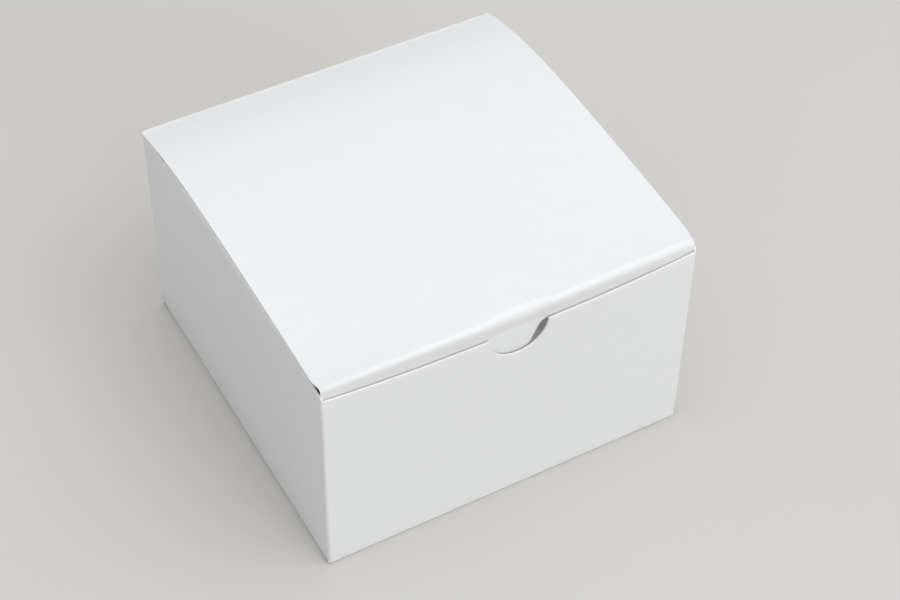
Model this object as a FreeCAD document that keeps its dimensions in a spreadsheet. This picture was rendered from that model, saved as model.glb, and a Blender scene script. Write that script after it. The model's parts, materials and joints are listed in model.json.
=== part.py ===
"""One-piece tuck-top gift carton, folded from a single sheet of coated white board.

Frame: millimetres, +Z up, +X to the right, -Y towards the front. The origin is the centre of the
base, on the surface that the carton stands on. The panels between two scores are one sub-part
each, and so is each score, because the board bends only there.
"""

import FreeCAD, Part
import math
import os
import Sketcher

DRIVING_SIZES = {
    # outside of the folded carton
    "width": 101.6,
    "depth": 101.6,
    "front_height": 60.9,
    "board": 0.5,
    # a folded score: outer radius, and the room that its pressed bead takes from each panel
    "fold_radius": 0.8,
    "bead_radius": 0.4,
    "bead_room": 0.45,
    # the lid's domed middle surface: two arcs that meet level at the crown
    "crown_height": 66.6,
    "crown_setback": 10.0,
    "rear_radius": 210.0,
    "front_radius": 600.0,
    # the front panel's outward bow at its top edge, and its thumb notch
    "front_bow": 1.6,
    "notch_radius": 8.0,
    # tuck flap
    "tuck_setback": 1.05,
    "tuck_length": 16.0,
    "tuck_lean": 7.5,
    "tuck_side_gap": 1.0,
    "tuck_corner": 9.0,
    "tuck_slit": 7.0,
    # dust flaps, under the lid
    "dust_gap": 0.3,
    "dust_reach": 32.0,
    "dust_front_gap": 5.6,
    "dust_rear_gap": 14.8,
    "dust_rear_taper": 14.0,
    "dust_front_taper": 3.0,
    # manufacturer's seam, inside the back panel
    "seam_width": 12.0,
    "seam_taper": 3.0,
    "glue_film": 0.05,
    # crash-lock bottom
    "bottom_centre_gap": 0.6,
    "tongue_root": 3.0,
    "tongue_ramp": 1.5,
    "tongue_reach": 14.0,
    "tongue_start": 4.0,
    "tongue_end": 24.0,
    "tongue_corner": 5.0,
    "wing_width": 23.5,
    "wing_length": 44.0,
    "wing_taper": 8.0,
    "wing_score": 0.85,
    "side_flap_reach": 24.0,
    "side_flap_end": 1.5,
    "glue_spot_length": 14.0,
    "glue_spot_width": 12.0,
}

X_AXIS = FreeCAD.Vector(1, 0, 0)
Z_AXIS = FreeCAD.Vector(0, 0, 1)
SHEET_NAME = "Sizes"


class Size:
    """A number together with the spreadsheet expression that gives it."""

    def __init__(self, value, text):
        self.value = float(value)
        self.text = text

    def joined(self, sign, other, value):
        other = as_size(other)
        return Size(value, "(" + self.text + " " + sign + " " + other.text + ")")

    def __add__(self, other):
        return self.joined("+", other, self.value + as_size(other).value)

    def __sub__(self, other):
        return self.joined("-", other, self.value - as_size(other).value)

    def __mul__(self, other):
        return self.joined("*", other, self.value * as_size(other).value)

    def __truediv__(self, other):
        return self.joined("/", other, self.value / as_size(other).value)

    def __neg__(self):
        return Size(-self.value, "(-1 * " + self.text + ")")


def as_size(number):
    return number if isinstance(number, Size) else Size(number, repr(float(number)))


def root(size):
    return Size(math.sqrt(size.value), "sqrt" + size.text)


ZERO = Size(0, "0")
doc = FreeCAD.newDocument("GiftCarton")


def driving_sheet():
    """The spreadsheet of driving sizes, and a Size for each alias."""
    sheet = doc.addObject("Spreadsheet::Sheet", SHEET_NAME)
    sizes = {}
    for row, (alias, number) in enumerate(DRIVING_SIZES.items(), start=1):
        sheet.set("A%d" % row, alias)
        sheet.set("B%d" % row, str(number))
        sheet.setAlias("B%d" % row, alias)
        sizes[alias] = Size(number, SHEET_NAME + "." + alias)
    doc.recompute()
    return sizes


S = driving_sheet()

# ---------------------------------------------------------------- sizes worked out from the sheet

board = S["board"]
half_board = board / 2
half_width = S["width"] / 2
half_depth = S["depth"] / 2
fold = S["fold_radius"]
fold_inner = fold - board
panel_half_width = half_width - fold
panel_half_depth = half_depth - fold
raised = board + S["glue_film"]
crown_y = S["crown_setback"]
hinge_y = half_depth - half_board
tuck_y = S["tuck_setback"] - half_depth
dust_mid_drop = board + S["dust_gap"]
dust_rear_y = half_depth - S["dust_rear_gap"]
dust_front_y = S["dust_front_gap"] - half_depth


def dome_radius(rear):
    return S["rear_radius"] if rear else S["front_radius"]


def dome_height(y, drop):
    """Height at y of the surface that runs `drop` below the lid's middle surface."""
    radius = dome_radius(y.value > crown_y.value)
    run = y - crown_y
    reach = radius - drop
    return S["crown_height"] - radius + root(reach * reach - run * run)


hinge_z = dome_height(hinge_y, ZERO)
tuck_z = dome_height(tuck_y, ZERO)
wall_drop = dust_mid_drop + fold - half_board
rear_top = hinge_z - S["bead_room"]


# ---------------------------------------------------------------- sketching and feature helpers


def new_body(label):
    body = doc.addObject("PartDesign::Body", label)
    body.Label = label
    return body


def origin_plane(body, role):
    return [part for part in body.Origin.OriginFeatures if part.Role == role][0]


def add_sketch(body, suffix, role):
    sketch = body.newObject("Sketcher::SketchObject", body.Label + "_" + suffix)
    sketch.AttachmentSupport = [(origin_plane(body, role), "")]
    sketch.MapMode = "FlatFace"
    return sketch


def arc_between(start, end, radius, bulge):
    """An anticlockwise arc through two points, and whether it runs from start to end.

    bulge is +1 where the arc swells to the left of the way from start to end, and -1 to the right.
    """
    chord = end - start
    middle = (start + end) / 2
    left = FreeCAD.Vector(-chord.y, chord.x, 0).normalize()
    centre = middle - left * bulge * math.sqrt(radius ** 2 - (chord.Length / 2) ** 2)
    forward = bulge < 0
    first, last = (start, end) if forward else (end, start)
    from_angle = math.atan2(first.y - centre.y, first.x - centre.x)
    to_angle = math.atan2(last.y - centre.y, last.x - centre.x)
    circle = Part.Circle(centre, Z_AXIS, radius)
    return Part.ArcOfCircle(circle, from_angle, to_angle), forward


def fix_coordinate(sketch, edge, end, kind, size):
    """Ties one coordinate of an edge's end to its expression."""
    if abs(size.value) < 1e-9:
        axis = -2 if kind == "DistanceX" else -1
        sketch.addConstraint(Sketcher.Constraint("PointOnObject", edge, end, axis))
        return
    number = sketch.addConstraint(Sketcher.Constraint(kind, -1, 1, edge, end, size.value))
    sketch.setExpression("Constraints[%d]" % number, size.text)


def outline(sketch, points, arcs=None):
    """A closed outline through (x, y) pairs of sizes. arcs maps an edge's number to (radius, bulge)."""
    arcs = arcs or {}
    corners = [FreeCAD.Vector(x.value, y.value, 0) for x, y in points]
    first_edge = sketch.GeometryCount
    ends = []
    for number, start in enumerate(corners):
        end = corners[(number + 1) % len(corners)]
        forward = True
        curve = Part.LineSegment(start, end)
        if number in arcs:
            radius, bulge = arcs[number]
            curve, forward = arc_between(start, end, radius.value, bulge)
        edge = sketch.addGeometry(curve, False)
        ends.append((1, 2) if forward else (2, 1))
        if number in arcs:
            tied = sketch.addConstraint(Sketcher.Constraint("Radius", edge, radius.value))
            sketch.setExpression("Constraints[%d]" % tied, radius.text)
    for number in range(len(corners)):
        following = (number + 1) % len(corners)
        sketch.addConstraint(
            Sketcher.Constraint(
                "Coincident",
                first_edge + number,
                ends[number][1],
                first_edge + following,
                ends[following][0],
            )
        )
    for number, (x, y) in enumerate(points):
        fix_coordinate(sketch, first_edge + number, ends[number][0], "DistanceX", x)
        fix_coordinate(sketch, first_edge + number, ends[number][0], "DistanceY", y)
    return sketch


def rectangle(low_x, low_y, high_x, high_y):
    return [(low_x, low_y), (high_x, low_y), (high_x, high_y), (low_x, high_y)]


def pad(body, sketch, length, side="One side", reverse=False):
    feature = body.newObject("PartDesign::Pad", sketch.Label + "_pad")
    feature.Profile = sketch
    feature.SideType = side
    feature.Reversed = reverse
    feature.Length = length.value
    feature.setExpression("Length", length.text)
    sketch.Visibility = False
    return feature


def pocket_through(body, sketch):
    feature = body.newObject("PartDesign::Pocket", sketch.Label + "_pocket")
    feature.Profile = sketch
    feature.SideType = "Symmetric"
    feature.Type = "ThroughAll"
    sketch.Visibility = False
    return feature


def place(body, x=ZERO, y=ZERO, z=ZERO, axis=Z_AXIS, angle=ZERO):
    """Puts a body in its place. Its position and turn stay tied to the sheet."""
    base = FreeCAD.Vector(x.value, y.value, z.value)
    body.Placement = FreeCAD.Placement(base, FreeCAD.Rotation(axis, angle.value))
    for letter, size in (("x", x), ("y", y), ("z", z)):
        body.setExpression("Placement.Base." + letter, size.text)
    if angle.value:
        body.setExpression("Placement.Rotation.Angle", angle.text)


HALF_TURN = Size(180, "180")
parts = []


def register(body):
    parts.append(body)
    return body


# ---------------------------------------------------------------- walls


def front_panel():
    """Plate that is straight at the bottom score and bows outwards towards its free top edge."""
    body = new_body("front_panel")
    bottom = add_sketch(body, "bottom", "XY_Plane")
    bottom.AttachmentOffset = FreeCAD.Placement(
        FreeCAD.Vector(0, 0, fold.value), FreeCAD.Rotation()
    )
    bottom.setExpression("AttachmentOffset.Base.z", fold.text)
    inner_y = board - half_depth
    outline(bottom, rectangle(-panel_half_width, -half_depth, panel_half_width, inner_y))
    top = add_sketch(body, "top", "XY_Plane")
    top.AttachmentOffset = FreeCAD.Placement(
        FreeCAD.Vector(0, 0, S["front_height"].value), FreeCAD.Rotation()
    )
    top.setExpression("AttachmentOffset.Base.z", S["front_height"].text)
    bow = S["front_bow"]
    outer_radius = (panel_half_width * panel_half_width + bow * bow) / (bow * 2)
    outline(
        top,
        rectangle(-panel_half_width, -half_depth, panel_half_width, inner_y),
        {0: (outer_radius, -1), 2: (outer_radius, 1)},
    )
    loft = body.newObject("PartDesign::AdditiveLoft", "front_panel_loft")
    loft.Profile = bottom
    loft.Sections = [top]
    loft.Ruled = True
    doc.recompute()
    notch = add_sketch(body, "notch", "XZ_Plane")
    centre = FreeCAD.Vector(0, S["front_height"].value, 0)
    circle = notch.addGeometry(Part.Circle(centre, Z_AXIS, S["notch_radius"].value), False)
    fix_coordinate(notch, circle, 3, "DistanceX", ZERO)
    fix_coordinate(notch, circle, 3, "DistanceY", S["front_height"])
    tied = notch.addConstraint(Sketcher.Constraint("Radius", circle, S["notch_radius"].value))
    notch.setExpression("Constraints[%d]" % tied, S["notch_radius"].text)
    pocket_through(body, notch)
    place(body)
    return register(body)


def back_panel():
    """Flat plate, from the bottom score to the lid's score. Its right edge is the sheet's raw edge."""
    body = new_body("back_panel")
    sketch = add_sketch(body, "outline", "XZ_Plane")
    outline(sketch, rectangle(-panel_half_width, fold, half_width, rear_top))
    pad(body, sketch, board)
    place(body, y=half_depth)
    return register(body)


def side_panel(label, rear_edge_y, x):
    """Flat plate whose top edge follows the lid's dome, with a step down at its front end."""
    body = new_body(label)
    sketch = add_sketch(body, "outline", "YZ_Plane")
    foot = raised + fold
    outline(
        sketch,
        [
            (-panel_half_depth, foot),
            (rear_edge_y, foot),
            (rear_edge_y, rear_top),
            (dust_rear_y, dome_height(dust_rear_y, wall_drop)),
            (crown_y, S["crown_height"] - wall_drop),
            (dust_front_y, dome_height(dust_front_y, wall_drop)),
            (dust_front_y, S["front_height"]),
            (-panel_half_depth, S["front_height"]),
        ],
        {
            3: (S["rear_radius"] - wall_drop, -1),
            4: (S["front_radius"] - wall_drop, -1),
        },
    )
    pad(body, sketch, board)
    place(body, x=x)
    return register(body)


def corner_crease(label, x, y, top, quarter_turns):
    """Upright folded score: a quarter of a ring, from just above the base to its lower panel's top."""
    body = new_body(label)
    sketch = add_sketch(body, "section", "XY_Plane")
    outline(
        sketch,
        [(fold_inner, ZERO), (fold, ZERO), (ZERO, fold), (ZERO, fold_inner)],
        {1: (fold, -1), 3: (fold_inner, 1)},
    )
    pad(body, sketch, top - fold_inner)
    place(body, x=x, y=y, z=fold_inner, angle=Size(90 * quarter_turns, str(90 * quarter_turns)))
    return register(body)


def seam_flap():
    """Glue flap on the right side panel's rear edge, folded in behind the back panel."""
    body = new_body("seam_glue_flap")
    sketch = add_sketch(body, "outline", "XZ_Plane")
    top = rear_top - fold
    foot = raised + fold
    inner_x = panel_half_width - S["seam_width"]
    outline(
        sketch,
        [
            (inner_x, foot + S["seam_taper"]),
            (panel_half_width, foot),
            (panel_half_width, top),
            (inner_x, top - S["seam_taper"]),
        ],
    )
    pad(body, sketch, board)
    place(body, y=half_depth - board - S["glue_film"])
    return register(body)


def seam_glue():
    """Film of glue between the back panel and the seam flap."""
    body = new_body("seam_glue_line")
    sketch = add_sketch(body, "outline", "XZ_Plane")
    margin = S["seam_taper"]
    foot = raised + fold + margin
    top = rear_top - fold - margin
    inner_x = panel_half_width - S["seam_width"] + margin
    outline(sketch, rectangle(inner_x, foot, panel_half_width - margin, top))
    pad(body, sketch, S["glue_film"])
    place(body, y=half_depth - board)
    return register(body)


# ---------------------------------------------------------------- lid, tuck flap and their scores


def dome_band(front_y, rear_y, drop):
    """Outline, in the YZ plane, of a domed plate `drop` below the lid, with upright ends."""
    upper = drop - half_board
    lower = drop + half_board
    points = [
        (front_y, dome_height(front_y, lower)),
        (crown_y, S["crown_height"] - lower),
        (rear_y, dome_height(rear_y, lower)),
        (rear_y, dome_height(rear_y, upper)),
        (crown_y, S["crown_height"] - upper),
        (front_y, dome_height(front_y, upper)),
    ]
    arcs = {
        0: (S["front_radius"] - lower, 1),
        1: (S["rear_radius"] - lower, 1),
        3: (S["rear_radius"] - upper, -1),
        4: (S["front_radius"] - upper, -1),
    }
    return points, arcs


def lid_panel():
    """Domed plate over the whole top, with a slit at each end of the tuck flap's score."""
    body = new_body("lid_panel")
    sketch = add_sketch(body, "profile", "YZ_Plane")
    outline(sketch, *dome_band(tuck_y + S["bead_room"], hinge_y - S["bead_room"], ZERO))
    pad(body, sketch, S["width"], side="Symmetric")
    place(body)
    return register(body)


def score_bead(label, length, y, z):
    """Pressed bead of a score that the board turns about, on the joint's own axis."""
    body = new_body(label)
    sketch = add_sketch(body, "section", "YZ_Plane")
    circle = sketch.addGeometry(
        Part.Circle(FreeCAD.Vector(0, 0, 0), Z_AXIS, S["bead_radius"].value), False
    )
    sketch.addConstraint(Sketcher.Constraint("Coincident", circle, 3, -1, 1))
    tied = sketch.addConstraint(Sketcher.Constraint("Radius", circle, S["bead_radius"].value))
    sketch.setExpression("Constraints[%d]" % tied, S["bead_radius"].text)
    pad(body, sketch, length, side="Symmetric")
    place(body, y=y, z=z)
    return register(body)


def tuck_flap():
    """Plate with rounded free corners that hangs from the lid's front score and leans inwards."""
    body = new_body("tuck_flap")
    sketch = add_sketch(body, "outline", "XZ_Plane")
    half = half_width - S["tuck_side_gap"]
    corner = S["tuck_corner"]
    top = -S["bead_room"]
    tip = -S["tuck_length"]
    outline(
        sketch,
        [
            (-half, top),
            (-half, tip + corner),
            (corner - half, tip),
            (half - corner, tip),
            (half, tip + corner),
            (half, top),
        ],
        {1: (corner, -1), 3: (corner, -1)},
    )
    pad(body, sketch, board, side="Symmetric")
    place(body, y=tuck_y, z=tuck_z, axis=X_AXIS, angle=S["tuck_lean"])
    return register(body)


# ---------------------------------------------------------------- dust flaps


def dust_flap(label, side):
    """Domed plate under the lid, hinged on a side panel, with tapered front and rear edges."""
    body = new_body(label)
    sketch = add_sketch(body, "profile", "YZ_Plane")
    outline(sketch, *dome_band(dust_front_y, dust_rear_y, dust_mid_drop))
    reach = S["dust_reach"]
    pad(body, sketch, reach, reverse=side > 0)
    inward = reach if side < 0 else -reach
    doc.recompute()
    tapers = add_sketch(body, "tapers", "XY_Plane")
    for edge_y, taper in (
        (dust_rear_y, -S["dust_rear_taper"]),
        (dust_front_y, S["dust_front_taper"]),
    ):
        outline(
            tapers,
            [
                (ZERO, edge_y),
                (inward * 1.2, edge_y + taper * 1.2),
                (inward * 1.2, edge_y - taper),
            ],
        )
    pocket_through(body, tapers)
    place(body, x=-panel_half_width if side < 0 else panel_half_width)
    return register(body)


def dust_crease(label, side):
    """Curved folded score between a side panel's domed top edge and its dust flap."""
    body = new_body(label)
    across = -side
    top = half_board - dust_mid_drop
    for suffix, radius, end_y in (
        ("rear", S["rear_radius"], dust_rear_y),
        ("front", S["front_radius"], dust_front_y),
    ):
        section = add_sketch(body, suffix, "XZ_Plane")
        outline(
            section,
            [
                (ZERO, top - fold),
                (board * across, top - fold),
                (fold * across, top - board),
                (fold * across, top),
            ],
            {1: (fold_inner, across), 3: (fold, -across)},
        )
        axis = section.addGeometry(
            Part.LineSegment(
                FreeCAD.Vector(0, -radius.value, 0), FreeCAD.Vector(1, -radius.value, 0)
            ),
            True,
        )
        fix_coordinate(section, axis, 1, "DistanceX", ZERO)
        fix_coordinate(section, axis, 1, "DistanceY", -radius)
        fix_coordinate(section, axis, 2, "DistanceX", as_size(1))
        section.addConstraint(Sketcher.Constraint("Horizontal", axis))
        sweep = body.newObject("PartDesign::Revolution", section.Label + "_turn")
        sweep.Profile = section
        sweep.ReferenceAxis = (section, ["Axis0"])
        rear = suffix == "rear"
        reach = end_y - crown_y if rear else crown_y - end_y
        sweep.Reversed = rear
        sweep.Angle = math.degrees(math.asin(reach.value / radius.value))
        sweep.setExpression("Angle", "asin(" + reach.text + " / " + radius.text + ")")
        section.Visibility = False
        doc.recompute()
    wall_x = half_width if side > 0 else -half_width
    place(body, x=wall_x, y=crown_y, z=S["crown_height"])
    return register(body)


# ---------------------------------------------------------------- crash-lock bottom


def major_flap(label, turn):
    """Front or back bottom flap: a plate with a locking tongue that rides up over its partner."""
    body = new_body(label)
    sketch = add_sketch(body, "outline", "XY_Plane")
    score_y = -panel_half_depth
    wing_x = S["wing_width"] - panel_half_width
    free_x = panel_half_width - fold_inner
    outline(
        sketch,
        [
            (S["wing_score"] - panel_half_width, score_y),
            (free_x, score_y),
            (free_x, -S["bottom_centre_gap"]),
            (S["tongue_end"], -S["bottom_centre_gap"]),
            (S["tongue_end"], -S["tongue_root"]),
            (S["tongue_start"], -S["tongue_root"]),
            (S["tongue_start"], -S["bottom_centre_gap"]),
            (wing_x + S["wing_score"], -S["bottom_centre_gap"]),
            (wing_x + S["wing_score"], wing_x),
        ],
    )
    pad(body, sketch, board)
    doc.recompute()
    profile = add_sketch(body, "tongue", "YZ_Plane")
    profile.AttachmentOffset = FreeCAD.Placement(
        FreeCAD.Vector(0, 0, S["tongue_start"].value), FreeCAD.Rotation()
    )
    profile.setExpression("AttachmentOffset.Base.z", S["tongue_start"].text)
    start = -S["tongue_root"]
    ramp_end = start + S["tongue_ramp"]
    outline(
        profile,
        [
            (start, ZERO),
            (ramp_end, raised),
            (S["tongue_reach"], raised),
            (S["tongue_reach"], raised + board),
            (ramp_end, raised + board),
            (start, board),
        ],
    )
    pad(body, profile, S["tongue_end"] - S["tongue_start"])
    doc.recompute()
    corners = add_sketch(body, "tongue_corners", "XY_Plane")
    tip = S["tongue_reach"]
    corner = S["tongue_corner"]
    for edge_x, inward in ((S["tongue_start"], corner), (S["tongue_end"], -corner)):
        outline(
            corners,
            [
                (edge_x - inward, tip + corner),
                (edge_x - inward, tip - corner * 2),
                (edge_x, tip - corner),
                (edge_x + inward, tip),
                (edge_x + inward, tip + corner),
            ],
        )
    pocket_through(body, corners)
    place(body, angle=turn)
    return register(body)


def glue_wing(label, turn):
    """Triangular wing of a major flap, glued to the underside of the side flap beside it."""
    body = new_body(label)
    sketch = add_sketch(body, "outline", "XY_Plane")
    wall_x = fold_inner - panel_half_width
    inner_x = S["wing_width"] - panel_half_width
    offset = S["wing_score"]
    end_y = S["wing_length"] - panel_half_depth
    outline(
        sketch,
        [
            (wall_x, wall_x + offset),
            (inner_x, inner_x + offset),
            (inner_x, end_y - S["wing_taper"]),
            (wall_x, end_y),
        ],
    )
    pad(body, sketch, board)
    place(body, angle=turn)
    return register(body)


def wing_crease(label, turn):
    """Diagonal score between a major flap and its glue wing, flat in the erected carton."""
    body = new_body(label)
    sketch = add_sketch(body, "outline", "XY_Plane")
    wall_x = fold_inner - panel_half_width
    inner_x = S["wing_width"] - panel_half_width
    offset = S["wing_score"]
    outline(
        sketch,
        [
            (offset - panel_half_width, -panel_half_width),
            (inner_x + offset, inner_x),
            (inner_x, inner_x + offset),
            (wall_x, wall_x + offset),
        ],
    )
    pad(body, sketch, board)
    place(body, angle=turn)
    return register(body)


def side_flap(label, turn):
    """Trapezoid bottom flap of a side panel, lying on the glue wings."""
    body = new_body(label)
    sketch = add_sketch(body, "outline", "XY_Plane")
    long_end = panel_half_depth - S["side_flap_end"]
    inner_x = S["side_flap_reach"] - panel_half_width
    outline(
        sketch,
        [
            (-panel_half_width, -long_end),
            (inner_x, inner_x),
            (inner_x, -inner_x),
            (-panel_half_width, long_end),
        ],
    )
    pad(body, sketch, board)
    place(body, z=raised, angle=turn)
    return register(body)


def glue_spot(label, turn):
    """Film of glue between a wing and a side flap."""
    body = new_body(label)
    sketch = add_sketch(body, "outline", "XY_Plane")
    low_x = S["wing_taper"] - panel_half_width
    low_y = S["glue_spot_width"] - S["wing_length"]
    outline(
        sketch,
        rectangle(
            low_x,
            low_y,
            low_x + S["glue_spot_width"],
            low_y + S["glue_spot_length"],
        ),
    )
    pad(body, sketch, S["glue_film"])
    place(body, z=board, angle=turn)
    return register(body)


def bottom_crease(label, half_length, across, height, quarter_turns):
    """Folded score along a wall's foot: a quarter ring from the wall down to the bottom flap."""
    body = new_body(label)
    sketch = add_sketch(body, "section", "XZ_Plane")
    outline(
        sketch,
        [(-fold, ZERO), (ZERO, -fold), (ZERO, -fold_inner), (-fold_inner, ZERO)],
        {0: (fold, -1), 2: (fold_inner, 1)},
    )
    pad(body, sketch, half_length * 2, side="Symmetric")
    sign = {0: (-1, 0), 1: (0, -1), 2: (1, 0), 3: (0, 1)}[quarter_turns]
    x = across * sign[0] if sign[0] else ZERO
    y = across * sign[1] if sign[1] else ZERO
    place(body, x=x, y=y, z=height, angle=Size(90 * quarter_turns, str(90 * quarter_turns)))
    return register(body)


# ---------------------------------------------------------------- the carton


def build_walls():
    front_panel()
    back_panel()
    side_panel("left_side_panel", panel_half_depth, -half_width)
    seam_rear_y = panel_half_depth - board - S["glue_film"]
    side_panel("right_side_panel", seam_rear_y, half_width - board)
    front_top = S["front_height"]
    x = panel_half_width
    y = panel_half_depth
    corner_crease("corner_crease_front_left", -x, -y, front_top, 2)
    corner_crease("corner_crease_front_right", x, -y, front_top, 3)
    corner_crease("corner_crease_back_left", -x, y, rear_top, 1)
    corner_crease("corner_crease_seam", x, seam_rear_y, rear_top, 0)
    seam_flap()
    seam_glue()


def build_bottom():
    for name, partner, turn in (("front", "left", ZERO), ("back", "right", HALF_TURN)):
        major_flap("bottom_%s_flap" % name, turn)
        glue_wing("bottom_glue_wing_%s" % partner, turn)
        wing_crease("bottom_wing_crease_%s" % partner, turn)
        side_flap("bottom_%s_flap" % partner, turn)
        glue_spot("bottom_glue_spot_%s" % partner, turn)
    side_half = panel_half_depth - S["side_flap_end"]
    bottom_crease("bottom_crease_left", side_half, panel_half_width, raised + fold, 0)
    bottom_crease("bottom_crease_front", panel_half_width, panel_half_depth, fold, 1)
    bottom_crease("bottom_crease_right", side_half, panel_half_width, raised + fold, 2)
    bottom_crease("bottom_crease_back", panel_half_width, panel_half_depth, fold, 3)


def build_top():
    lid_panel()
    score_bead("lid_hinge_crease", panel_half_width * 2, hinge_y, hinge_z)
    tuck_score = (half_width - S["tuck_side_gap"] - S["tuck_slit"]) * 2
    score_bead("tuck_flap_crease", tuck_score, tuck_y, tuck_z)
    tuck_flap()
    for name, side in (("left", -1), ("right", 1)):
        dust_flap("dust_flap_" + name, side)
        dust_crease("dust_flap_crease_" + name, side)


def check_model():
    for item in doc.Objects:
        if "Invalid" in item.State or "Error" in item.State:
            raise RuntimeError(item.Label + " did not recompute")
    for body in parts:
        if body.Shape.isNull() or not body.Shape.isValid() or not body.Shape.Solids:
            raise RuntimeError(body.Label + " has no valid solid")


def write_parts():
    os.makedirs("parts", exist_ok=True)
    for body in parts:
        body.Shape.exportStep("parts/%s.step" % body.Label)


build_walls()
build_bottom()
build_top()
doc.recompute()
check_model()
write_parts()
print("hinge height %.4f, tuck score y %.4f z %.4f" % (hinge_z.value, tuck_y.value, tuck_z.value))
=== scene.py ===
"""Looks of a one-piece white gift carton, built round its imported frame.

Lengths are in millimetres until a mesh is written, and MM turns them into metres. +Z is up and the
carton's front faces -Y. Every sheet of board is a grid of points on its coated face: seen from
outside, the rows run downwards and the columns run to the right.
"""

import json
import math

import bmesh
import bpy
import numpy as np
from mathutils import Matrix, Vector


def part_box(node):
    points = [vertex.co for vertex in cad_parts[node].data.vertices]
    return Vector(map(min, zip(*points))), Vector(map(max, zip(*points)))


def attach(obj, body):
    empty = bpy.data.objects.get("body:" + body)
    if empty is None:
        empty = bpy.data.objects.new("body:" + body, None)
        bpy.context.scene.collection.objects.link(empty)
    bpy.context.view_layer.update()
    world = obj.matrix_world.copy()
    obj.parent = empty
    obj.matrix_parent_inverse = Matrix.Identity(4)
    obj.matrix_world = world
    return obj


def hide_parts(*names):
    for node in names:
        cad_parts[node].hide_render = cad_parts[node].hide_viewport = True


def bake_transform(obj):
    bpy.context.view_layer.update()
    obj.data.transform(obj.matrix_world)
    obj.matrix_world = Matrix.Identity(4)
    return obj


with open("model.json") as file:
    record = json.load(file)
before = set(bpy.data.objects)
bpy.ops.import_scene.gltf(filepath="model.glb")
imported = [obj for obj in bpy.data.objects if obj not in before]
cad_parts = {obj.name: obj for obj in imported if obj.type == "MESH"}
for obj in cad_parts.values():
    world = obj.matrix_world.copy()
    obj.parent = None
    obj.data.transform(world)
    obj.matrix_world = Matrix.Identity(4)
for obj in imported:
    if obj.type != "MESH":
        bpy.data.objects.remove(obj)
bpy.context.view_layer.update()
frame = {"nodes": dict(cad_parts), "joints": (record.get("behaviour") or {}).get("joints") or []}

MM = 0.001

# ---------------------------------------------------------------- sizes that the frame gives


def corners_of(node):
    """Low and high corner of a node's box."""
    low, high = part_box(node)
    return np.array(low) / MM, np.array(high) / MM


def joint_place(name):
    joint = next(j for j in frame["joints"] if j["name"] == name)
    return np.array(joint["pos_m"]) / MM


front_low, front_high = corners_of("front_panel")
back_low, back_high = corners_of("back_panel")
dust_low, dust_high = corners_of("dust_flap_left")

HALF_WIDTH = corners_of("lid_panel")[1][0]
HALF_DEPTH = back_high[1]
BOARD = back_high[1] - back_low[1]

# outer radius of the folded scores, and where the flat panels end beside them
FOLD = front_low[2]
PANEL_X = HALF_WIDTH - FOLD
PANEL_Y = HALF_DEPTH - FOLD

FRONT_TOP = front_high[2]
BACK_TOP = back_high[2]
SIDE_FOOT = corners_of("left_side_panel")[0][2]
CORNER_FOOT = corners_of("corner_crease_front_left")[0][2]
SEAM_Y = corners_of("right_side_panel")[1][1]
TUCK_HALF = corners_of("tuck_flap")[1][0]
DUST_REAR = dust_high[1]
DUST_FRONT = dust_low[1]
DUST_REACH = dust_high[0] - dust_low[0]
HINGE = joint_place("lid_hinge")

# ---------------------------------------------------------------- sizes that only the looks have

# rounding of the raw edges, and the least angle between faces that is shaded as an edge
CUT_ROUNDING = 0.07
SHARP_ANGLE = math.radians(28)

NOTCH_RADIUS = 8.0

# the walls' free tops bow outwards: how far, how flat along the wall, and how late up the wall
FRONT_BOW = 1.9
SIDE_BOW = 0.55
BOW_POWER = 2.4
BOW_RISE = 1.5

# the side walls' tops: above the front wall at one end, and closer to the lid at the other
WALL_END_RISE = 1.1
WALL_REAR_RISE = FOLD * 0.8
WALL_REAR_LENGTH = 4.0

# the lid, a little wider than the walls: heights along its side edges and along its centre line,
# and the powers with which it falls from its crown to the rear and to the front
LID_HALF = HALF_WIDTH + 0.22
LID_START_Y = HINGE[1] - 1.0
LID_CROWN_Y = 12.0
EDGE_HEIGHTS = {"rear": 62.5, "crown": 66.6, "front": 63.6}
CENTRE_HEIGHTS = {"rear": 62.5, "crown": 66.75, "front": 67.0}
REAR_POWER = 2.6
FRONT_POWER = 1.5

# power of the lid's arch across, at its front fold, and how soon behind the fold it nears 1
CREST_POWER = 0.6
CREST_REACH = 8.0

# the lid's back score: how far its control point lies behind the wall
HINGE_BULGE = 0.9

# the lid's front fold: radii at its left and right end, half length, and the shares of the lid's
# length between which the lid narrows to it
FOLD_RADII = (1.05, 1.8)
FOLD_HALF = 50.5
FOLD_NARROWING = (0.97, 1.0)

# the tuck flap: its gap behind the front wall, how far its foot leans in, its length, its corners'
# radius, and the depth over which it narrows; then the strip that shows between the fold and the
# wall: how far its middle leans out, and its least height
TUCK_GAP = 0.2
TUCK_LEAN = 0.3
TUCK_LENGTH = 15.0
TUCK_CORNER = 9.0
TUCK_NARROWING = 5.0
STRIP_LEAN = 0.7
STRIP_LEAST = 1.2

# the dent that a thumb has left in the fold: its two flanks in x, the shares of the lid's length
# between which it grows, how far down it reaches, and how much it widens the fold's radius
DENT_PUSH = 0.4
DENT_LEFT = (-11.0, -3.0)
DENT_RIGHT = (4.0, 10.0)
DENT_GROWTH = (0.9, 1.0)
DENT_REACH = 11.0
DENT_SOFTENING = 0.9

# the hollow in the tuck flap: its left flank slants, by HOLLOW_SLANT for each millimetre down
HOLLOW_DEPTH = 3.0
HOLLOW_LEFT = 8.45
HOLLOW_SLANT = 0.45
HOLLOW_FLANK = 1.6
HOLLOW_RIGHT = (8.0, 11.0)
HOLLOW_TOP = (4.6, 7.0)
HOLLOW_FOOT = (9.0, 14.0)
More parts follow.
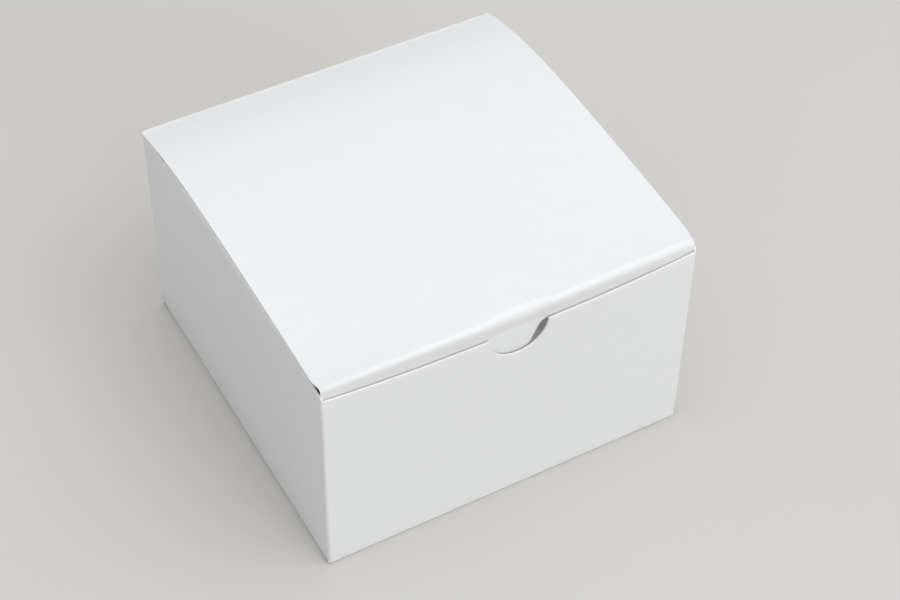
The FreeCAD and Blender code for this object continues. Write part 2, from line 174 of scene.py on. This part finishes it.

# dust flaps: the gap under the lid, how far the rear and front edge draw in, their corners' radius,
# and how far they sag
LID_TO_FLAP = 0.15
DUST_TAPERS = (14.0, 3.0)
DUST_CORNER = 7.0
DUST_SAG = 1.0

# how many points lie along the sheets
NOTCH_COLUMNS = 33
BESIDE_NOTCH_COLUMNS = 29
FRONT_ROWS = 41
WALL_ROWS = 25
WALL_REAR_COLUMNS = 10
WALL_FRONT_COLUMNS = 8
BACK_COLUMNS = 41
SCORE_ROWS = 9
SCORE_COLUMNS = 13
DUST_ROWS = 33
DUST_SCORE_ROWS = 11
DUST_COLUMNS = 47
LID_ROWS = 61
LID_SIDE_COLUMNS = 36
DENT_COLUMNS = 79
FOLD_ROWS = 15
TUCK_ROWS = 45
HINGE_ROWS = 15

# how much closer the lid's and the tuck flap's rows lie at their ends, the middle share of the
# lid's width with evenly close columns, and the turn whose sine spaces the columns beside it
LID_CROWDING = 1.35
TUCK_CROWDING = 1.4
DENT_SHARE = 0.3
SIDE_TURN = 0.45 * math.pi


def rise(value, start, end):
    """Smooth step of a value: 0 up to start, and 1 from end on."""
    t = np.clip((value - start) / (end - start), 0.0, 1.0)
    return t * t * (3.0 - 2.0 * t)


def mixed(a, b, share):
    return a + (b - a) * share


def row_shares(rows):
    """Even shares from 0 to 1, one for each row of a grid."""
    return np.linspace(0.0, 1.0, rows)[:, None]


def crowded(rows, power):
    """Shares from 0 to 1, one for each row, closer together towards 1."""
    return 1.0 - (1.0 - row_shares(rows)) ** power


def points(x, y, z):
    """Points from their coordinates, which broadcast to one shape."""
    return np.stack(np.broadcast_arrays(x, y, z), axis=-1)


# ---------------------------------------------------------------- the lid's surface


def profile_height(y, heights):
    """Height along one line of the lid from the hinge over the crown to the front."""
    rear = np.clip((y - LID_CROWN_Y) / (HINGE[1] - LID_CROWN_Y), 0.0, 1.0)
    front = np.clip((LID_CROWN_Y - y) / (LID_CROWN_Y + PANEL_Y), 0.0, 1.0)
    behind = mixed(heights["crown"], heights["rear"], rear ** REAR_POWER)
    return behind + (heights["front"] - heights["crown"]) * front ** FRONT_POWER


def lid_height(x, y):
    """Top surface of the lid: arched from front to back, and crowned across towards its front fold."""
    across = np.clip(x / LID_HALF, -1.0, 1.0)
    edge = profile_height(y, EDGE_HEIGHTS)
    centre = profile_height(y, CENTRE_HEIGHTS)
    from_front = np.maximum(y + PANEL_Y, 0.0)
    roundness = 1.0 - (1.0 - CREST_POWER) * np.exp(-from_front / CREST_REACH)
    return edge + (centre - edge) * (1.0 - across * across) ** roundness


# ---------------------------------------------------------------- sheets of board


def grid_normals(grid):
    """Unit normals of a grid, on the side that the coated face looks to."""
    down = np.gradient(grid, axis=0)
    right = np.gradient(grid, axis=1)
    normals = np.cross(down, right)
    return normals / np.linalg.norm(normals, axis=2, keepdims=True)


def sheet_faces(rows, columns):
    """Faces of a closed sheet, as (corners, part). A part is outside, inside or one of the sides."""
    count = rows * columns
    faces = []
    for i in range(rows - 1):
        for j in range(columns - 1):
            a = i * columns + j
            ring = (a, a + columns, a + columns + 1, a + 1)
            faces.append((ring, "outside"))
            faces.append((tuple(count + k for k in reversed(ring)), "inside"))
    borders = {
        "top": list(range(columns)),
        "foot": [(rows - 1) * columns + j for j in range(columns)],
        "left": [i * columns for i in range(rows)],
        "right": [i * columns + columns - 1 for i in range(rows)],
    }
    for side, line in borders.items():
        for a, b in zip(line[:-1], line[1:]):
            faces.append(((a, b, b + count, a + count), side))
    return faces


def rounded_cuts(sheet, edges):
    """Rounds the edges along the raw sides of a sheet."""
    bmesh.ops.bevel(
        sheet,
        geom=edges,
        offset=CUT_ROUNDING,
        offset_type="OFFSET",
        affect="EDGES",
        segments=2,
        profile=0.5,
        clamp_overlap=True,
        material=2,
    )


def board_sheet(name, grid, materials, cut):
    """A closed sheet of board whose coated face is the grid. The sides in `cut` are raw, rounded edges.

    materials are for the coated face, the inside face and the raw edges.
    """
    rows, columns = grid.shape[:2]
    inner = grid - grid_normals(grid) * BOARD
    sheet = bmesh.new()
    corners = [sheet.verts.new(p) for p in np.concatenate([grid.reshape(-1, 3), inner.reshape(-1, 3)])]
    raw_edges = set()
    for ring, part in sheet_faces(rows, columns):
        face = sheet.faces.new([corners[k] for k in ring])
        face.material_index = {"outside": 0, "inside": 1}.get(part, 2)
        face.smooth = True
        if part in cut:
            # the first and third edge of a side's face run along the sheet's two faces
            raw_edges.update(face.edges[k] for k in (0, 2))
    bmesh.ops.recalc_face_normals(sheet, faces=sheet.faces)
    rounded_cuts(sheet, list(raw_edges))
    bmesh.ops.scale(sheet, vec=(MM, MM, MM), verts=sheet.verts)
    mesh = bpy.data.meshes.new(name)
    sheet.to_mesh(mesh)
    sheet.free()
    mesh.set_sharp_from_angle(angle=SHARP_ANGLE)
    for material in materials:
        mesh.materials.append(material)
    piece = bpy.data.objects.new(name, mesh)
    bpy.context.scene.collection.objects.link(piece)
    return piece


# ---------------------------------------------------------------- materials

# linear colours, the darkest and the lightest of each surface
COATED_WHITES = ((0.850, 0.859, 0.866), (0.862, 0.870, 0.877))
COATED_GRAIN = ((0.975, 0.975, 0.975), (1.0, 1.0, 1.0))
INSIDE_WHITES = ((0.770, 0.765, 0.745), (0.800, 0.796, 0.780))
INSIDE_SPECKS = ((0.955, 0.955, 0.95), (1.0, 1.0, 1.0))
CUT_WHITES = ((0.870, 0.865, 0.850), (0.935, 0.930, 0.920))
BOTTOM_COATED_WHITES = ((0.842, 0.852, 0.858), (0.868, 0.876, 0.882))
BOTTOM_INSIDE_WHITES = ((0.740, 0.735, 0.715), (0.800, 0.796, 0.780))
GLUE_YELLOWS = ((0.72, 0.66, 0.50), (0.80, 0.77, 0.66))
FLOOR_GREYS = ((0.620, 0.602, 0.574), (0.646, 0.629, 0.602))

FIBRES_ALONG_X = (5.0, 1.0, 1.0)
FIBRES_ALONG_Y = (1.0, 5.0, 1.0)


def new_material(name):
    material = bpy.data.materials.new(name)
    material.use_nodes = True
    tree = material.node_tree
    shader = tree.nodes["Principled BSDF"]
    place = tree.nodes.new("ShaderNodeTexCoord")
    return material, tree, shader, place.outputs["Object"]


def noise(tree, place, size, detail=3.0, stretch=(1.0, 1.0, 1.0)):
    """Noise whose blotches are about `size` millimetres across."""
    mapping = tree.nodes.new("ShaderNodeMapping")
    mapping.inputs["Scale"].default_value = [1.0 / s for s in stretch]
    texture = tree.nodes.new("ShaderNodeTexNoise")
    texture.inputs["Scale"].default_value = 1.0 / (size * MM)
    texture.inputs["Detail"].default_value = detail
    tree.links.new(place, mapping.inputs["Vector"])
    tree.links.new(mapping.outputs["Vector"], texture.inputs["Vector"])
    return texture.outputs["Fac"]


def ramp(tree, value, colours, low=0.3, high=0.7):
    """The first to the second of colours as the value goes from low to high."""
    node = tree.nodes.new("ShaderNodeValToRGB")
    for element, position, colour in zip(node.color_ramp.elements, (low, high), colours):
        element.position = position
        element.color = (*colour, 1.0)
    tree.links.new(value, node.inputs["Fac"])
    return node.outputs["Color"]


def mix_colours(tree, a, b, share, mode="MIX"):
    node = tree.nodes.new("ShaderNodeMix")
    node.data_type = "RGBA"
    node.blend_type = mode
    for socket, value in ((node.inputs[6], a), (node.inputs[7], b), (node.inputs[0], share)):
        if isinstance(value, bpy.types.NodeSocket):
            tree.links.new(value, socket)
        else:
            socket.default_value = value
    return node.outputs[2]


def span(tree, value, low, high):
    """The value, from 0..1 to low..high."""
    node = tree.nodes.new("ShaderNodeMapRange")
    node.inputs["To Min"].default_value = low
    node.inputs["To Max"].default_value = high
    tree.links.new(value, node.inputs["Value"])
    return node.outputs["Result"]


def bump(tree, shader, heights):
    """Stacks bumps on the shader's normal. heights are (value, depth in millimetres, strength)."""
    before = None
    for value, depth, strength in heights:
        node = tree.nodes.new("ShaderNodeBump")
        node.inputs["Distance"].default_value = depth * MM
        node.inputs["Strength"].default_value = strength
        tree.links.new(value, node.inputs["Height"])
        if before is not None:
            tree.links.new(before, node.inputs["Normal"])
        before = node.outputs["Normal"]
    tree.links.new(before, shader.inputs["Normal"])


def coated_face(tree, shader, place):
    """Clay-coated white face: faint mottle, satin gloss and a very fine grain. Returns its bumps."""
    mottle = ramp(tree, noise(tree, place, size=5.0, detail=4.0), COATED_WHITES)
    grain = ramp(tree, noise(tree, place, size=0.35, detail=2.0), COATED_GRAIN)
    tree.links.new(mix_colours(tree, mottle, grain, 1.0, "MULTIPLY"), shader.inputs["Base Color"])
    tree.links.new(span(tree, noise(tree, place, size=1.6), 0.34, 0.48), shader.inputs["Roughness"])
    shader.inputs["IOR"].default_value = 1.46
    return [
        (noise(tree, place, size=14.0, detail=2.0), 0.03, 0.12),
        (noise(tree, place, size=0.25), 0.004, 0.35),
    ]


def coated_material():
    material, tree, shader, place = new_material("coated_board")
    bump(tree, shader, coated_face(tree, shader, place))
    return material


def scored_material():
    """The coated face where a score stretches it: tiny wrinkles across the fold."""
    material, tree, shader, place = new_material("scored_board")
    heights = coated_face(tree, shader, place)
    wrinkles = noise(tree, place, size=0.5, detail=4.0, stretch=(1.0, 1.0, 3.0))
    bump(tree, shader, heights + [(wrinkles, 0.02, 0.3)])
    return material


def inside_material():
    """Uncoated inside face: matt, slightly warmer, with pressed wood fibres."""
    material, tree, shader, place = new_material("board_inside")
    cloud = ramp(tree, noise(tree, place, size=7.0, detail=4.0), INSIDE_WHITES)
    fibres = noise(tree, place, size=0.3, detail=6.0, stretch=FIBRES_ALONG_X)
    crossed = noise(tree, place, size=0.3, detail=6.0, stretch=FIBRES_ALONG_Y)
    speck = ramp(tree, fibres, INSIDE_SPECKS, low=0.35, high=0.65)
    tree.links.new(mix_colours(tree, cloud, speck, 1.0, "MULTIPLY"), shader.inputs["Base Color"])
    tree.links.new(span(tree, fibres, 0.78, 0.95), shader.inputs["Roughness"])
    bump(tree, shader, [(fibres, 0.02, 0.35), (crossed, 0.02, 0.25)])
    return material


def cut_edge_material():
    """Die-cut edge: torn layers of white fibre, rough."""
    material, tree, shader, place = new_material("board_cut_edge")
    layers = noise(tree, place, size=0.12, detail=5.0, stretch=(4.0, 4.0, 1.0))
    tree.links.new(ramp(tree, layers, CUT_WHITES), shader.inputs["Base Color"])
    tree.links.new(span(tree, layers, 0.75, 0.95), shader.inputs["Roughness"])
    bump(tree, shader, [(layers, 0.03, 0.5)])
    return material


def facing_down(tree):
    """1 where the surface faces the floor, and 0 elsewhere."""
    geometry = tree.nodes.new("ShaderNodeNewGeometry")
    normal = tree.nodes.new("ShaderNodeSeparateXYZ")
    tree.links.new(geometry.outputs["Normal"], normal.inputs["Vector"])
    below = tree.nodes.new("ShaderNodeMath")
    below.operation = "LESS_THAN"
    below.inputs[1].default_value = -0.5
    tree.links.new(normal.outputs["Z"], below.inputs[0])
    return below.outputs[0]


def bottom_material():
    """For a flat bottom flap of the frame: coated below, fibres above."""
    material, tree, shader, place = new_material("bottom_board")
    below = facing_down(tree)
    coated = ramp(tree, noise(tree, place, size=5.0, detail=4.0), BOTTOM_COATED_WHITES)
    fibres = noise(tree, place, size=0.3, detail=6.0, stretch=FIBRES_ALONG_X)
    plain = ramp(tree, fibres, BOTTOM_INSIDE_WHITES)
    tree.links.new(mix_colours(tree, plain, coated, below), shader.inputs["Base Color"])
    tree.links.new(span(tree, below, 0.85, 0.48), shader.inputs["Roughness"])
    bump(tree, shader, [(fibres, 0.02, 0.3)])
    return material


def glue_material():
    """Dried glue: a thin, slightly yellow, glossy film with streaks."""
    material, tree, shader, place = new_material("dried_glue")
    streaks = noise(tree, place, size=1.5, stretch=(1.0, 4.0, 1.0))
    tree.links.new(ramp(tree, streaks, GLUE_YELLOWS), shader.inputs["Base Color"])
    tree.links.new(span(tree, streaks, 0.18, 0.35), shader.inputs["Roughness"])
    bump(tree, shader, [(streaks, 0.02, 0.4)])
    return material


def floor_material():
    """Plain pale grey floor with a barely visible cloud and grain."""
    material, tree, shader, place = new_material("studio_floor")
    tree.links.new(ramp(tree, noise(tree, place, size=220.0), FLOOR_GREYS), shader.inputs["Base Color"])
    tree.links.new(span(tree, noise(tree, place, size=3.0), 0.72, 0.82), shader.inputs["Roughness"])
    bump(tree, shader, [(noise(tree, place, size=0.8), 0.01, 0.2)])
    return material


COATED = coated_material()
SCORED = scored_material()
INSIDE = inside_material()
CUT_EDGE = cut_edge_material()
BOTTOM = bottom_material()
GLUE = glue_material()
PANEL_FACES = (COATED, INSIDE, CUT_EDGE)
SCORE_FACES = (SCORED, INSIDE, CUT_EDGE)

# ---------------------------------------------------------------- walls

# places in y of a dust flap's columns, from rear to front
DUST_LINE = np.linspace(DUST_REAR, DUST_FRONT, DUST_COLUMNS)


def wall_bow(most, along, height):
    """How far a wall bows out, `along` its top edge from -1 to 1 and at a share of its height."""
    plan = 1.0 - np.abs(np.clip(along, -1.0, 1.0)) ** BOW_POWER
    return most * plan * np.clip(height, 0.0, 1.0) ** BOW_RISE


def front_face_y(x, z):
    """The front wall's outer face."""
    return -HALF_DEPTH - wall_bow(FRONT_BOW, x / PANEL_X, (z - FOLD) / (FRONT_TOP - FOLD))


def front_wall():
    """Front panel with its half-round thumb notch."""
    plain = np.linspace(NOTCH_RADIUS, PANEL_X, BESIDE_NOTCH_COLUMNS)
    around = NOTCH_RADIUS * np.cos(np.linspace(math.pi, 0.0, NOTCH_COLUMNS))
    x = np.concatenate([-plain[:0:-1], around, plain[1:]])
    notch = np.sqrt(np.maximum(NOTCH_RADIUS ** 2 - x * x, 0.0))
    z = mixed(FRONT_TOP - notch, FOLD, row_shares(FRONT_ROWS))
    wall = board_sheet("front_wall", points(x, front_face_y(x, z), z), PANEL_FACES, ("top",))
    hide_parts("front_panel")
    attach(wall, "carton")


def flap_height(x, y):
    """Coated face of a dust flap, close under the lid."""
    return lid_height(x, y) - BOARD - LID_TO_FLAP


def wall_top(x, y):
    """Top edge of a side wall, where its dust flap's score starts."""
    front = rise(y, DUST_FRONT, -PANEL_Y)
    rear = rise(y, DUST_REAR, DUST_REAR + WALL_REAR_LENGTH)
    return mixed(flap_height(x, y) - FOLD, FRONT_TOP + WALL_END_RISE, front) + WALL_REAR_RISE * rear


def side_wall(name, node, side, rear_y):
    """Side panel whose arched top edge follows the lid. side is -1 for the left and 1 for the right."""
    y = np.concatenate([
        np.linspace(rear_y, DUST_REAR, WALL_REAR_COLUMNS)[:-1],
        DUST_LINE,
        np.linspace(DUST_FRONT, -PANEL_Y, WALL_FRONT_COLUMNS)[1:],
    ])
    if side > 0:
        y = y[::-1]
    share = row_shares(WALL_ROWS)
    x = side * (HALF_WIDTH + wall_bow(SIDE_BOW, y / PANEL_Y, 1.0 - share))
    z = mixed(wall_top(side * PANEL_X, y), SIDE_FOOT, share)
    wall = board_sheet(name, points(x, y, z), PANEL_FACES, ("top",))
    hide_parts(node)
    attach(wall, "carton")


def back_wall():
    """Back panel. Its right edge, seen from the front, is the raw edge over the maker's seam."""
    x = np.linspace(HALF_WIDTH, -PANEL_X, BACK_COLUMNS)
    z = np.linspace(BACK_TOP, FOLD, WALL_ROWS)[:, None]
    wall = board_sheet("back_wall", points(x, HALF_DEPTH, z), PANEL_FACES, ("left",))
    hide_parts("back_panel")
    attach(wall, "carton")


def corner_score(name, node, centre_x, centre_y, start_angle, tops):
    """Upright folded score, a quarter turn anticlockwise from start_angle, in degrees.

    Its top edge goes from the first to the second of tops.
    """
    turn = np.radians(start_angle) + np.linspace(0.0, math.pi / 2.0, SCORE_COLUMNS)
    x = centre_x + FOLD * np.cos(turn)
    y = centre_y + FOLD * np.sin(turn)
    top = mixed(*tops, np.linspace(0.0, 1.0, SCORE_COLUMNS))
    z = mixed(top, CORNER_FOOT, row_shares(SCORE_ROWS))
    score = board_sheet(name, points(x, y, z), SCORE_FACES, ("top", "foot"))
    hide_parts(node)
    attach(score, "carton")


def walls():
    front_wall()
    back_wall()
    side_wall("left_wall", "left_side_panel", -1.0, PANEL_Y)
    side_wall("right_wall", "right_side_panel", 1.0, SEAM_Y)
    side_end = FRONT_TOP + WALL_END_RISE
    rear_left = float(wall_top(-PANEL_X, PANEL_Y))
    rear_seam = float(wall_top(PANEL_X, SEAM_Y))
    for name, node, x, y, start_angle, tops in (
        ("corner_front_left", "corner_crease_front_left", -PANEL_X, -PANEL_Y, 180, (side_end, FRONT_TOP)),
        ("corner_front_right", "corner_crease_front_right", PANEL_X, -PANEL_Y, 270, (FRONT_TOP, side_end)),
        ("corner_seam", "corner_crease_seam", PANEL_X, SEAM_Y, 0, (rear_seam, rear_seam)),
        ("corner_back_left", "corner_crease_back_left", -PANEL_X, PANEL_Y, 90, (rear_left, rear_left)),
    ):
        corner_score(name, node, x, y, start_angle, tops)


# ---------------------------------------------------------------- dust flaps


def flap_rows(side):
    """A dust flap from its free edge outwards. Both its ends are tapered and rounded."""
    inward = np.linspace(DUST_REACH, 0.0, DUST_ROWS)[:, None]
    corner = np.clip(inward - (DUST_REACH - DUST_CORNER), 0.0, DUST_CORNER)
    drawn_in = DUST_CORNER - np.sqrt(DUST_CORNER ** 2 - corner ** 2)
    rear = DUST_REAR - DUST_TAPERS[0] * inward / DUST_REACH - drawn_in
    front = DUST_FRONT + DUST_TAPERS[1] * inward / DUST_REACH + drawn_in
    y = mixed(rear, front, np.linspace(0.0, 1.0, DUST_COLUMNS))
    bow = wall_bow(SIDE_BOW, DUST_LINE / PANEL_Y, 1.0)
    x = side * (PANEL_X - inward + bow * (1.0 - inward / DUST_REACH))
    return points(x, y, flap_height(x, y) - DUST_SAG * (inward / DUST_REACH))


def flap_score_rows(side):
    """A dust flap's curved score: a quarter turn down to the side wall's arched top edge."""
    turn = np.linspace(0.0, math.pi / 2.0, DUST_SCORE_ROWS)[1:, None]
    bow = wall_bow(SIDE_BOW, DUST_LINE / PANEL_Y, 1.0)
    x = side * (PANEL_X + bow + FOLD * np.sin(turn))
    z = flap_height(side * PANEL_X, DUST_LINE) - FOLD * (1.0 - np.cos(turn))
    return points(x, DUST_LINE, z)


def dust_flap(name, nodes, side):
    """Dust flap and its score, one sheet curved from the side wall's top edge into the flap."""
    grid = np.concatenate([flap_rows(side), flap_score_rows(side)])
    if side > 0:
        grid = grid[:, ::-1]
    flap = board_sheet(name, grid, PANEL_FACES, ("top", "left", "right"))
    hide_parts(*nodes)
    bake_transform(flap)


# ---------------------------------------------------------------- lid and tuck flap


def column_shares():
    """Shares of the half width for the lid's columns, closest round the dent and at the side edges."""
    middle = np.linspace(-DENT_SHARE, DENT_SHARE, DENT_COLUMNS)
    turn = np.linspace(0.0, SIDE_TURN, LID_SIDE_COLUMNS)[1:]
    side = DENT_SHARE + (1.0 - DENT_SHARE) * np.sin(turn) / math.sin(turn[-1])
    return np.concatenate([-side[::-1], middle, side])


def dent_across(x):
    """Plan of the thumb dent: full above the notch's left half, and gone on both sides of the notch."""
    return rise(x, *DENT_LEFT) * (1.0 - rise(x, *DENT_RIGHT))


def hollow(x, down):
    """How far the tuck flap springs back from the notch's right half, `down` below the fold."""
    left = HOLLOW_LEFT - HOLLOW_SLANT * down
    across = rise(x, left, left + HOLLOW_FLANK) * (1.0 - rise(x, *HOLLOW_RIGHT))
    return HOLLOW_DEPTH * across * rise(down, *HOLLOW_TOP) * (1.0 - rise(down, *HOLLOW_FOOT))


def fold_radius(x):
    return mixed(*FOLD_RADII, (x / FOLD_HALF + 1.0) / 2.0) + DENT_SOFTENING * dent_across(x)


def strip_face_y(x):
    """The tuck flap's outer face at the top of its visible strip, between the fold and the front wall."""
    lean = STRIP_LEAN * (1.0 - np.clip(x / FOLD_HALF, -1.0, 1.0) ** 2)
    return front_face_y(x, FRONT_TOP) + BOARD + TUCK_GAP - lean


def lid_rows(shares):
    """The lid from the hinge score forwards. Its front corners are drawn in to the fold's ends."""
    along = crowded(LID_ROWS, LID_CROWDING)
    x = shares * mixed(LID_HALF, FOLD_HALF, rise(along, *FOLD_NARROWING))
    crest = strip_face_y(x) + fold_radius(x)
    pushed = DENT_PUSH * dent_across(x) * rise(along, *DENT_GROWTH)
    y = mixed(LID_START_Y, crest, along) + pushed
    return points(x, y, lid_height(x, y))


def fold_rows(lid):
    """The rounded fold: it turns from the lid's own slope to upright."""
    x, edge_y, edge_z = lid[-1].T
    slope = np.arctan2(lid[-2, :, 2] - edge_z, lid[-2, :, 1] - edge_y)
    turn = slope + (math.pi / 2.0 - slope) * row_shares(FOLD_ROWS)[1:]
    radius = fold_radius(x)
    y = edge_y + radius * (np.sin(slope) - np.sin(turn))
    z = edge_z - radius * (np.cos(slope) - np.cos(turn))
    return points(x, y, z)


def tuck_rows(shares, fold_end):
    """The tuck flap, down into the pocket behind the front wall."""
    down = TUCK_LENGTH * crowded(TUCK_ROWS, TUCK_CROWDING)[1:]
    half = mixed(FOLD_HALF, TUCK_HALF, rise(down, 0.0, TUCK_NARROWING))
    corner = np.clip(down - (TUCK_LENGTH - TUCK_CORNER), 0.0, TUCK_CORNER)
    x = shares * (half - TUCK_CORNER + np.sqrt(TUCK_CORNER ** 2 - corner ** 2))
    z = fold_end[:, 2] - down
    pocket = front_face_y(x, np.minimum(z, FRONT_TOP)) + BOARD + TUCK_GAP
    strip_height = np.maximum(fold_end[:, 2] - FRONT_TOP, STRIP_LEAST)
    settled = pocket + TUCK_LEAN * down / TUCK_LENGTH + hollow(x, down)
    dent = DENT_PUSH * dent_across(x) * (1.0 - rise(down, 0.0, DENT_REACH))
    straight = fold_end[:, 1] - DENT_PUSH * dent_across(fold_end[:, 0])
    y = mixed(straight, settled, rise(down, 0.0, strip_height)) + dent
    return points(x, y, z)


def lid_sheet():
    """Lid, its front fold and the tuck flap: one sheet, curved round the fold.

    Returns the lid's first two rows, where its back score joins it.
    """
    shares = column_shares()
    lid = lid_rows(shares)
    fold = fold_rows(lid)
    tuck = tuck_rows(shares, fold[-1])
    piece = board_sheet(
        "lid_and_tuck_flap", np.concatenate([lid, fold, tuck]), PANEL_FACES, ("left", "right", "foot")
    )
    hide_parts("lid_panel", "tuck_flap_crease", "tuck_flap")
    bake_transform(piece)
    return lid[:2]


def hinge_score(first, second):
    """Folded score between the back wall and the lid's first two rows. It swells behind the wall."""
    slope = (second[:, 2] - first[:, 2]) / (first[:, 1] - second[:, 1])
    bulge_y = HALF_DEPTH + HINGE_BULGE
    bulge = points(first[:, 0], bulge_y, first[:, 2] - slope * (bulge_y - first[:, 1]))
    foot = points(first[:, 0] * PANEL_X / LID_HALF, HALF_DEPTH, BACK_TOP)
    share = row_shares(HINGE_ROWS)[:, :, None]
    curve = (1.0 - share) ** 2 * first + 2.0 * share * (1.0 - share) * bulge + share ** 2 * foot
    piece = board_sheet("lid_hinge_score", curve[:, ::-1], SCORE_FACES, ("left", "right"))
    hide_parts("lid_hinge_crease")
    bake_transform(piece)


# ---------------------------------------------------------------- bottom and seam: the frame's own nodes


def node_material(name):
    """Material of a node of the bottom or the maker's seam."""
    if "glue_spot" in name or "glue_line" in name:
        return GLUE
    if name.startswith("bottom_crease"):
        return SCORED
    return BOTTOM


def frame_nodes():
    """Gives the frame's nodes that no sheet replaces their materials."""
    for name, node in frame["nodes"].items():
        if not node.hide_render:
            node.data.materials.clear()
            node.data.materials.append(node_material(name))


# ---------------------------------------------------------------- floor, light and camera, in metres

FLOOR_HALF = 4.0

SKY_COLOUR = (0.975, 0.988, 1.0, 1.0)
SKY_STRENGTH = 1.25
LAMP_COLOUR = (0.985, 0.99, 1.0)
LAMP_AIM = (0.0, 0.0, 0.03)

CAMERA_PLACE = (-0.17908, -0.33273, 0.41968)
CAMERA_AIM = (0.01913, 0.01386, 0.0)
CAMERA_ROLL = math.radians(-1.03)
CAMERA_LENS_MM = 83.87
CAMERA_SENSOR_MM = 36.0


def studio_floor():
    mesh = bpy.data.meshes.new("studio_floor")
    corners = [(x * FLOOR_HALF, y * FLOOR_HALF, 0.0) for x, y in ((-1, -1), (1, -1), (1, 1), (-1, 1))]
    mesh.from_pydata(corners, [], [(0, 1, 2, 3)])
    mesh.materials.append(floor_material())
    floor = bpy.data.objects.new("studio_floor", mesh)
    bpy.context.scene.collection.objects.link(floor)


def aimed(place, aim, roll=0.0):
    """Matrix of a lamp or camera at place that looks at aim."""
    look = (Vector(aim) - Vector(place)).normalized()
    right = look.cross(Vector((0.0, 0.0, 1.0))).normalized()
    right = Matrix.Rotation(roll, 3, look) @ right
    up = right.cross(look)
    turn = Matrix((right, up, -look)).transposed()
    return Matrix.Translation(place) @ turn.to_4x4()


def soft_box(name, place, size, power):
    lamp = bpy.data.lights.new(name, "AREA")
    lamp.shape = "SQUARE"
    lamp.size = size
    lamp.energy = power
    lamp.color = LAMP_COLOUR
    holder = bpy.data.objects.new(name, lamp)
    holder.matrix_world = aimed(place, LAMP_AIM)
    bpy.context.scene.collection.objects.link(holder)


def studio_light():
    """A tent of light that is brightest overhead, with two soft boxes in front of the carton."""
    world = bpy.data.worlds.new("studio")
    bpy.context.scene.world = world
    world.use_nodes = True
    tree = world.node_tree
    background = tree.nodes["Background"]
    background.inputs["Color"].default_value = SKY_COLOUR
    place = tree.nodes.new("ShaderNodeTexCoord")
    direction = tree.nodes.new("ShaderNodeSeparateXYZ")
    tree.links.new(place.outputs["Generated"], direction.inputs["Vector"])
    strength = span(tree, direction.outputs["Z"], 0.0, SKY_STRENGTH)
    tree.links.new(strength, background.inputs["Strength"])
    soft_box("front_softbox", place=(0.2, -1.8, 0.6), size=1.0, power=7.3)
    soft_box("key_softbox", place=(0.75, -0.9, 1.7), size=1.4, power=8.6)
    bpy.context.scene.view_settings.view_transform = "Standard"


def studio_camera():
    camera = bpy.data.cameras.new("camera")
    camera.sensor_width = CAMERA_SENSOR_MM
    camera.lens = CAMERA_LENS_MM
    camera.clip_start = 0.01
    holder = bpy.data.objects.new("camera", camera)
    holder.matrix_world = aimed(CAMERA_PLACE, CAMERA_AIM, CAMERA_ROLL)
    bpy.context.scene.collection.objects.link(holder)
    bpy.context.scene.camera = holder


walls()
dust_flap("dust_flap_left_sheet", ("dust_flap_left", "dust_flap_crease_left"), -1.0)
dust_flap("dust_flap_right_sheet", ("dust_flap_right", "dust_flap_crease_right"), 1.0)
hinge_score(*lid_sheet())
frame_nodes()
studio_floor()
studio_light()
studio_camera()

bpy.context.view_layer.update()
